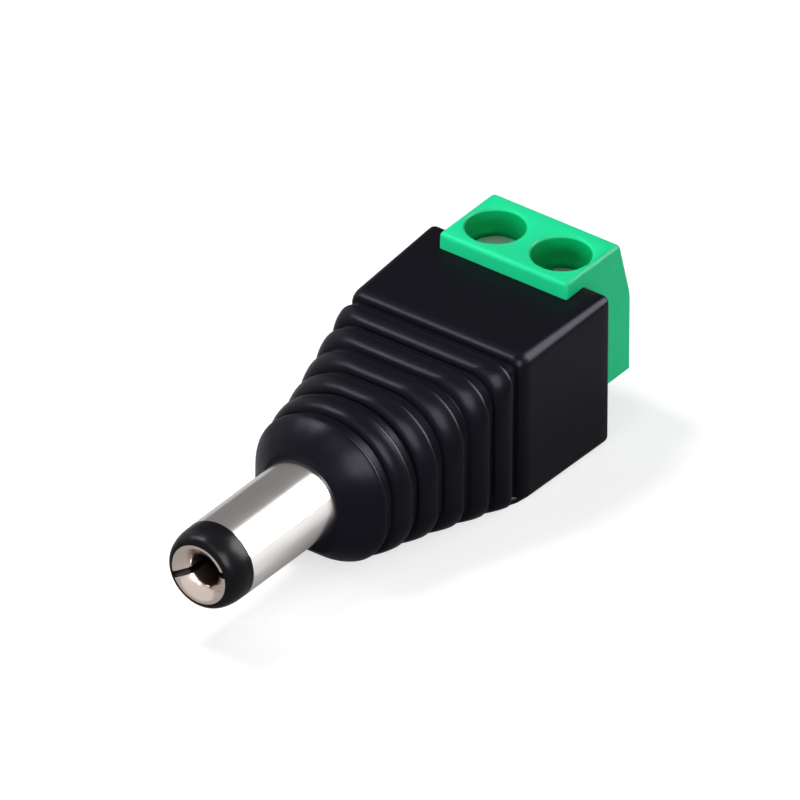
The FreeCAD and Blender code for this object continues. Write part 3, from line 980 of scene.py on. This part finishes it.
@dataclass
class Barrel:
    """Outer sleeve, black tip and inner contact."""

    radius: float = 2.75
    length: float = 8.7
    bore: float = 1.95
    stem: float = 2.35
    lug_rear: float = 3.4
    stem_rear: float = 3.8
    stem_bevel: float = 0.2
    insulator_rear: float = 4.4
    tip_length: float = 2.08
    tip_radius: float = 2.74
    tip_face_radius: float = 2.12
    tip_collar: float = 0.5
    tip_steps: int = 12
    press: float = 0.02
    contact: float = 1.45
    contact_bore: float = 1.05
    bore_length: float = 9.0
    funnel: float = 2.05
    funnel_lip: float = 0.15
    funnel_depth: float = 0.9
    funnel_steps: int = 8
    slit_width: float = 0.45
    slit_length: float = 4.6
    slit_angle: float = 20.0
    flange: float = 1.8
    flange_length: float = 0.4
    pin_width: float = 1.2
    pin_thickness: float = 0.6
    tail_rear: float = 8.1
    tail_crank: float = 1.0
    segments: int = 128

    @property
    def face(self) -> float:
        """Place of the tip's face along the axis."""
        return -self.length - self.tip_length

    def sleeve(self, paint: Paint) -> None:
        """Plain bright tube with a swaged stem."""
        outline = rounded_outline(
            [
                (self.bore, -self.length, 0.0),
                (self.radius, -self.length, 0.0),
                (self.radius, 0.0, 0.0),
                (self.stem, 0.0, 0.0),
                (self.stem, self.lug_rear, 0.0),
                (self.radius, self.lug_rear, 0.0),
                (self.radius - self.stem_bevel, self.stem_rear, 0.0),
                (self.bore, self.stem_rear, 0.0),
            ]
        )
        made = make_object("barrel_tube", turned(outline, Axis.PLUG, self.segments, tube=True))
        paint.dress(made, Finish.NICKEL)
        stand_in(made, "barrel_sleeve", Body.SHELL)

    def cone(self, gap: float) -> list[tuple[float, float]]:
        """Outside of the contact's flared mouth, from its tube to its lip."""
        return [
            (self.contact + gap, self.face + self.funnel_depth),
            (self.funnel + gap, self.face + self.funnel_lip),
            (self.funnel + gap, self.face),
        ]

    def insulator(self, paint: Paint) -> None:
        """Black tip with a rounded nose on a plastic tube."""
        outline: list[tuple[float, float]] = []
        rounding = self.tip_length - self.tip_collar
        for step in range(self.tip_steps + 1):
            angle = math.pi / 2 * step / self.tip_steps
            radius = between(self.tip_face_radius, self.tip_radius, math.sin(angle))
            outline.append((radius, self.face + rounding * (1 - math.cos(angle))))
        outline.append((self.tip_radius, -self.length))
        outline.append((self.bore - self.press, -self.length))
        outline.append((self.bore - self.press, self.insulator_rear))
        outline.append((self.contact + self.press, self.insulator_rear))
        outline += self.cone(self.press)
        made = make_object("barrel_tip", turned(outline, Axis.PLUG, self.segments, tube=True))
        paint.dress(made, Finish.TIP_PLASTIC)
        stand_in(made, "barrel_insulator", Body.SHELL)

    def inner_contact(self, paint: Paint) -> None:
        """Flared, slit tube with a flange and a cranked tail."""
        bore_front = self.face + self.funnel_depth
        bore_rear = bore_front + self.bore_length
        flange_rear = self.insulator_rear + self.flange_length
        outline = [
            (self.contact_bore / 4, bore_rear + self.contact_bore / 2),
            (self.contact_bore, bore_rear),
        ]
        for step in range(self.funnel_steps, -1, -1):
            share = step / self.funnel_steps
            narrowed = math.sin(share * math.pi / 2)
            radius = between(self.funnel - self.funnel_lip, self.contact_bore, narrowed)
            outline.append((radius, self.face + self.funnel_depth * share))
        outline += reversed(self.cone(0.0))
        outline.append((self.contact, self.insulator_rear))
        outline.append((self.flange, self.insulator_rear))
        outline.append((self.flange, flange_rear))
        made = make_object("centre_socket_tube", turned(outline, Axis.PLUG, self.segments))
        slit = block_shape(
            (-self.funnel - REACH, self.face - REACH, -self.slit_width / 2),
            (self.funnel + REACH, self.face + self.slit_length, self.slit_width / 2),
        )
        bmesh.ops.rotate(
            slit, verts=slit.verts, matrix=Matrix.Rotation(math.radians(-self.slit_angle), 3, "Y")
        )
        carve(made, [slit])
        half, rise, far = self.pin_width / 2, self.pin_thickness / 2, POLES[1].x
        plan = [
            (-half, flange_rear - 0.1), (half, flange_rear - 0.1), (half, flange_rear),
            (far + half, flange_rear + self.tail_crank), (far + half, self.tail_rear),
            (far - half, self.tail_rear), (far - half, flange_rear + self.tail_crank + half),
            (-half, flange_rear + half),
        ]
        tail = loft([[Vector((x, y, z)) for x, y in plan] for z in (-rise, rise)])
        carve(made, [tail], join=True)
        smooth(made, 35.0)
        paint.dress(made, Finish.CONTACT)
        stand_in(made, "centre_contact", Body.SHELL)

    def build(self, paint: Paint) -> None:
        """Make the barrel's three pieces."""
        self.sleeve(paint)
        self.insulator(paint)
        self.inner_contact(paint)


# The green terminal block


@dataclass
class TerminalBlock:
    """Green two-pole block with screw wells and wire entries."""

    half: float = 4.955
    top: float = 6.81
    bottom: float = -2.9
    front: float = 21.0
    top_length: float = 5.75
    rear: float = 27.70
    slope_foot: float = 3.35
    tenon_front: float = 19.0
    tenon_top: float = 4.0
    well: float = 1.95
    screw_y: float = 23.75
    cage_half: float = 1.85
    cage_bottom: float = -2.1
    cage_top: float = 2.35
    cage_rear: float = 25.95
    entry_half: float = 1.4
    entry_low: float = -1.65
    entry_high: float = 1.25
    edge: float = 0.3
    rim: float = 0.18
    nearly: float = 0.01

    def body(self) -> bpy.types.Object:
        """Sloped prism, with its outer edges rounded."""
        profile = [
            (self.tenon_front, self.bottom), (self.tenon_front, self.tenon_top),
            (self.front, self.tenon_top), (self.front, self.top),
            (self.front + self.top_length, self.top), (self.rear, self.slope_foot),
            (self.rear, self.bottom),
        ]
        rings = [[Vector((x, y, z)) for y, z in profile] for x in (-self.half, self.half)]
        made = make_object("terminal_body", loft(rings))
        soften(
            made, self.edge, 4,
            lambda a, b: min(a.y, b.y) > self.front - 0.05
            and max(a.z, b.z) > self.tenon_top + 0.05,
        )
        return made

    def hollows(self, pole: Pole) -> list[bmesh.types.BMesh]:
        """Well, cage chamber and wire entry of one pole."""
        well = turned(
            [(self.well, self.cage_top - 0.1), (self.well, self.top + REACH)], Axis.UPRIGHT, 72
        )
        bmesh.ops.translate(well, vec=(pole.x, self.screw_y, 0), verts=well.verts)
        chamber = block_shape(
            (pole.x - self.cage_half, self.tenon_front - REACH, self.cage_bottom),
            (pole.x + self.cage_half, self.cage_rear + 0.05, self.cage_top),
        )
        entry = block_shape(
            (pole.x - self.entry_half, self.cage_rear - 0.2, self.entry_low),
            (pole.x + self.entry_half, self.rear + REACH, self.entry_high),
        )
        return [well, chamber, entry]

    def on_rim(self, a: Vector, b: Vector) -> bool:
        """Whether an edge lies on a well's rim or a wire entry's rim."""
        for pole in POLES:
            ends = [math.hypot(v.x - pole.x, v.y - self.screw_y) for v in (a, b)]
            level = min(a.z, b.z) > self.top - self.nearly
            if level and max(abs(r - self.well) for r in ends) < 0.02:
                return True
        if min(a.y, b.y) < self.rear - 0.001:
            return False
        below = max(a.z, b.z) < self.entry_high + self.nearly
        return below and min(a.z, b.z) > self.entry_low - self.nearly

    def paint_well_shade(self, made: bpy.types.Object, paint: Paint) -> None:
        """Give the inside walls of the two screw wells a duller and darker green, as painted shade.

        It stands for the shade inside the wells, which soft lamps alone don't give.

        Args:
            made: The finished block.
            paint: The finishes.
        """
        made.data.materials.append(paint[Finish.WELL_PLASTIC])
        for face in made.data.polygons:
            middle = face.center / MM
            if not self.cage_top - 0.15 < middle.z < self.top - self.rim:
                continue
            for pole in POLES:
                away = math.hypot(middle.x - pole.x, middle.y - self.screw_y)
                if away < self.well + self.nearly:
                    face.material_index = 1

    def build(self, paint: Paint) -> None:
        """Make the block and let it stand for its node."""
        made = self.body()
        for pole in POLES:
            carve(made, self.hollows(pole))
        soften(made, self.rim, 3, self.on_rim)
        smooth(made, 30.0)
        paint.dress(made, Finish.GREEN_PLASTIC)
        # Paints shade into the two screw wells as a darker green.
        self.paint_well_shade(made, paint)
        stand_in(made, "terminal_block", Body.SHELL)


# The clamp screws


@dataclass
class ClampScrew:
    """Slotted screw of one pole."""

    pole: Pole
    radius: float = 1.2
    head_radius: float = 1.8
    head_height: float = 1.3
    head_rounding: float = 0.2
    slot_width: float = 0.55
    slot_depth: float = 0.65
    slot_reach: float = 3.0
    neck: float = 0.7
    guard_thickness: float = 0.4
    closed_head: float = 2.55
    closed_guard: float = -1.48
    screw_y: float = 23.75
    press: float = 0.02

    def build(self, paint: Paint) -> None:
        """Make the screw and let it stand for its node."""
        head_low = self.closed_head + self.pole.raised
        head_top = head_low + self.head_height
        guard_low = self.closed_guard + self.pole.raised
        shank_low = guard_low + self.guard_thickness + self.press
        outline = rounded_outline(
            [
                (0.0, guard_low, 0.0), (self.neck, guard_low, 0.0), (self.neck, shank_low, 0.0),
                (self.radius, shank_low, 0.08), (self.radius, head_low, 0.0),
                (self.head_radius, head_low, 0.05),
                (self.head_radius, head_top, self.head_rounding),
                (0.0, head_top, 0.0),
            ]
        )[1:-1]
        made = make_object("clamp_screw_" + self.pole.side, turned(outline, Axis.UPRIGHT, 64))
        slot = block_shape(
            (-self.slot_reach, -self.slot_width / 2, head_top - self.slot_depth),
            (self.slot_reach, self.slot_width / 2, head_top + REACH),
        )
        turn = Matrix.Rotation(math.radians(self.pole.slot_angle), 3, "Z")
        bmesh.ops.rotate(slot, verts=slot.verts, matrix=turn)
        carve(made, [slot])
        made.data.transform(Matrix.Translation((self.pole.x * MM, self.screw_y * MM, 0)))
        smooth(made, 35.0)
        paint.dress(made, Finish.SCREW_STEEL)
        stand_in(made, "terminal_screw_" + self.pole.side, self.pole.screw_body)


@dataclass
class Fittings:
    """Pieces that keep the frame's own solids and only take a finish."""

    finishes: dict[str, Finish] = field(
        default_factory=lambda: {
            "sleeve_lug": Finish.TINNED,
            "terminal_cage_left": Finish.CAGE,
            "terminal_cage_right": Finish.CAGE,
            "terminal_pin_left": Finish.TINNED,
            "terminal_pin_right": Finish.TINNED,
            "wire_guard_left": Finish.SCREW_STEEL,
            "wire_guard_right": Finish.SCREW_STEEL,
            "lead_insulation_left": Finish.BLACK_SLEEVING,
            "lead_insulation_right": Finish.RED_SLEEVING,
            "lead_core_left": Finish.COPPER,
            "lead_core_right": Finish.COPPER,
            "solder_tail_left": Finish.SOLDER,
            "solder_tail_right": Finish.SOLDER,
            "solder_pin_left": Finish.SOLDER,
            "solder_pin_right": Finish.SOLDER,
        }
    )

    def build(self, paint: Paint) -> None:
        """Dress each of the frame's solids."""
        for node, finish in self.finishes.items():
            for made in bpy.data.objects:
                if made.type == "MESH" and made.name == node:
                    for slot in made.material_slots:
                        slot.material = paint[finish]
                    log.info("%s has %s", node, finish.value.name)


# Camera, floor and light


@dataclass(frozen=True)
class Lamp:
    """Rectangular soft lamp that looks at the middle of the plug.

    Args:
        name: Name of the lamp.
        place: Its place in millimetres.
        size: Its width and height in millimetres.
        power: Its power in watts.
        gloss: Whether it only makes highlights; otherwise it makes none.
    """

    name: str
    place: Place
    size: tuple[float, float]
    power: float
    gloss: bool = False


LAMPS = (
    Lamp("overhead", (-80, 10, 145), (50, 50), 0.225),
    Lamp("front low", (20, -160, 45), (60, 40), 0.14),
    Lamp("right low", (160, -20, 45), (60, 40), 0.06),
    Lamp("right sheen", (122, -68, 108), (110, 110), 0.62, gloss=True),
    Lamp("rear sheen", (93, 134, 86), (110, 135), 1.04, gloss=True),
    Lamp("left sheen", (-88, -19, 153), (50, 50), 0.19, gloss=True),
    Lamp("far left sheen", (-135, -10, 118), (40, 50), 0.07, gloss=True),
    Lamp("upper sheen", (14, -74, 160), (60, 60), 0.045, gloss=True),
)


@dataclass
class Studio:
    """Camera at the photograph's angle, a white floor, a card and the soft lamps.

    Args:
        azimuth: Turn of the camera about the upright axis, in degrees.
        elevation: Its height above the level, in degrees.
        roll: Its turn about its own view, in degrees.
        pixels_per_mm: Scale of the picture.
        frame_pixels: Width and height of the picture.
        origin_pixel: Where the frame's origin falls in it.
        camera_distance: From the plug to the camera, in millimetres.
        ambient: Strength of the world's light on the plug.
        floor_half: Half of the floor's width.
        floor_height: Height of the floor, which is the plug's underside.
        floor_grey: Brightness of the floor's own colour.
        floor_glow: How strongly the floor shines towards the camera.
        mirrored: Share of that glow which reflections show.
        card_glow: How strongly the card shines in reflections.
        aim: What the lamps look at.
    """

    azimuth: float = 36.1
    elevation: float = 33.5
    roll: float = -0.53
    pixels_per_mm: float = 16.07
    frame_pixels: float = 800.0
    origin_pixel: tuple[float, float] = (301.3, 498.7)
    camera_distance: float = 200.0
    ambient: float = 0.14
    floor_half: float = 2000.0
    floor_height: float = -5.14
    floor_grey: float = 0.45
    floor_glow: float = 0.66
    mirrored: float = 0.05
    card_glow: float = 0.22
    aim: Place = (0.0, 8.0, 0.0)

    def directions(self) -> tuple[Vector, Vector, Vector]:
        """Right, up and back of the camera, with its roll."""
        a, e, r = (math.radians(v) for v in (self.azimuth, self.elevation, self.roll))
        right = Vector((math.cos(a), math.sin(a), 0))
        up = Vector((-math.sin(a) * math.sin(e), math.cos(a) * math.sin(e), math.cos(e)))
        back = Vector((math.sin(a) * math.cos(e), -math.cos(a) * math.cos(e), math.sin(e)))
        turned_right = right * math.cos(r) - up * math.sin(r)
        turned_up = right * math.sin(r) + up * math.cos(r)
        return turned_right, turned_up, back

    def camera(self) -> None:
        """Place the camera so that the origin falls on its pixel."""
        right, up, back = self.directions()
        middle = self.frame_pixels / 2
        across = (middle - self.origin_pixel[0]) / self.pixels_per_mm
        rise = (self.origin_pixel[1] - middle) / self.pixels_per_mm
        place = right * across + up * rise + back * self.camera_distance
        data = bpy.data.cameras.new("view")
        data.type = "ORTHO"
        data.ortho_scale = self.frame_pixels / self.pixels_per_mm * MM
        data.clip_start = 0.001
        data.clip_end = 10
        made = bpy.data.objects.new("view", data)
        turn = Matrix((right, up, back)).transposed().to_4x4()
        made.matrix_world = Matrix.Translation(place * MM) @ turn
        bpy.context.scene.collection.objects.link(made)
        bpy.context.scene.camera = made

    def floor(self) -> None:
        """Plain white floor under the plug."""
        size, height = self.floor_half, self.floor_height
        shape = bmesh.new()
        for x, y in ((-size, -size), (size, -size), (size, size), (-size, size)):
            shape.verts.new((x, y, height))
        shape.faces.new(shape.verts)
        made = make_object("floor", shape)
        material, tree, shader = blank_material("white floor")
        shader.inputs["Base Color"].default_value = (*[self.floor_grey] * 3, 1.0)
        shader.inputs["Roughness"].default_value = 0.8
        shader.inputs["Emission Color"].default_value = (1.0, 1.0, 1.0, 1.0)
        glow = tree.math("MULTIPLY", self.seen(tree, self.mirrored), self.floor_glow)
        tree.link(glow, shader.inputs["Emission Strength"])
        made.data.materials.append(material)

    def card(self) -> None:
        """Grey card behind on the left, seen only in the plug's reflections."""
        shape = bmesh.new()
        for x, z in ((-330, -5), (13, -5), (13, 290), (-330, 290)):
            shape.verts.new((x, 200, z))
        shape.faces.new(shape.verts)
        made = make_object("grey_card", shape)
        material, _, shader = blank_material("grey card")
        shader.inputs["Base Color"].default_value = (0.0, 0.0, 0.0, 1.0)
        shader.inputs["Roughness"].default_value = 1.0
        shader.inputs["Specular IOR Level"].default_value = 0.0
        shader.inputs["Emission Color"].default_value = (1.0, 0.97, 0.97, 1.0)
        shader.inputs["Emission Strength"].default_value = self.card_glow
        made.data.materials.append(material)
        for way in ("camera", "diffuse", "shadow", "transmission", "volume_scatter"):
            setattr(made, "visible_" + way, False)

    def hang(self, lamp: Lamp) -> None:
        """Put one lamp in its place."""
        data = bpy.data.lights.new(lamp.name, "AREA")
        data.shape = "RECTANGLE"
        data.size, data.size_y = lamp.size[0] * MM, lamp.size[1] * MM
        data.energy = lamp.power
        made = bpy.data.objects.new(lamp.name, data)
        place = Vector(lamp.place)
        turn = (Vector(self.aim) - place).to_track_quat("-Z", "Y").to_matrix().to_4x4()
        made.matrix_world = Matrix.Translation(place * MM) @ turn
        made.visible_camera = False
        made.visible_glossy = lamp.gloss
        made.visible_diffuse = not lamp.gloss
        bpy.context.scene.collection.objects.link(made)

    def world(self) -> None:
        """White surroundings for the camera, softer light on the plug."""
        world = bpy.data.worlds.new("studio")
        bpy.context.scene.world = world
        world.use_nodes = True
        tree = Tree(world.node_tree)
        ground = world.node_tree.nodes["Background"]
        ground.inputs["Color"].default_value = (1.0, 1.0, 1.0, 1.0)
        shown = tree.math("MULTIPLY", self.seen(tree, 1.0), 1.0 - self.ambient)
        tree.link(tree.math("ADD", shown, self.ambient), ground.inputs["Strength"])

    def seen(self, tree: Tree, mirrored: float) -> bpy.types.NodeSocket:
        """How strongly the background is looked at, also in a reflection or through glass.

        Args:
            tree: The node tree of the floor or the world.
            mirrored: The share that reflections show.

        Returns:
            One for the camera, and less in a reflection.
        """
        path = tree.node("ShaderNodeLightPath")
        reflected = tree.math("MULTIPLY", path.outputs["Is Glossy Ray"], mirrored)
        looked = tree.math("MAXIMUM", path.outputs["Is Camera Ray"], reflected)
        return tree.math("MAXIMUM", looked, path.outputs["Is Transmission Ray"])

    def build(self) -> None:
        """Set up the whole studio."""
        self.camera()
        self.floor()
        self.card()
        self.world()
        for lamp in LAMPS:
            self.hang(lamp)
        bpy.context.scene.view_settings.view_transform = "Standard"


def main() -> None:
    """Build the plug piece by piece, then the studio."""
    logging.basicConfig(level=logging.INFO, format="%(message)s")
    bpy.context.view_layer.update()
    paint = Paint()
    Housing().build(paint)
    Barrel().build(paint)
    TerminalBlock().build(paint)
    for pole in POLES:
        ClampScrew(pole).build(paint)
    Fittings().build(paint)
    Studio().build()


if __name__ == "__main__":
    main()
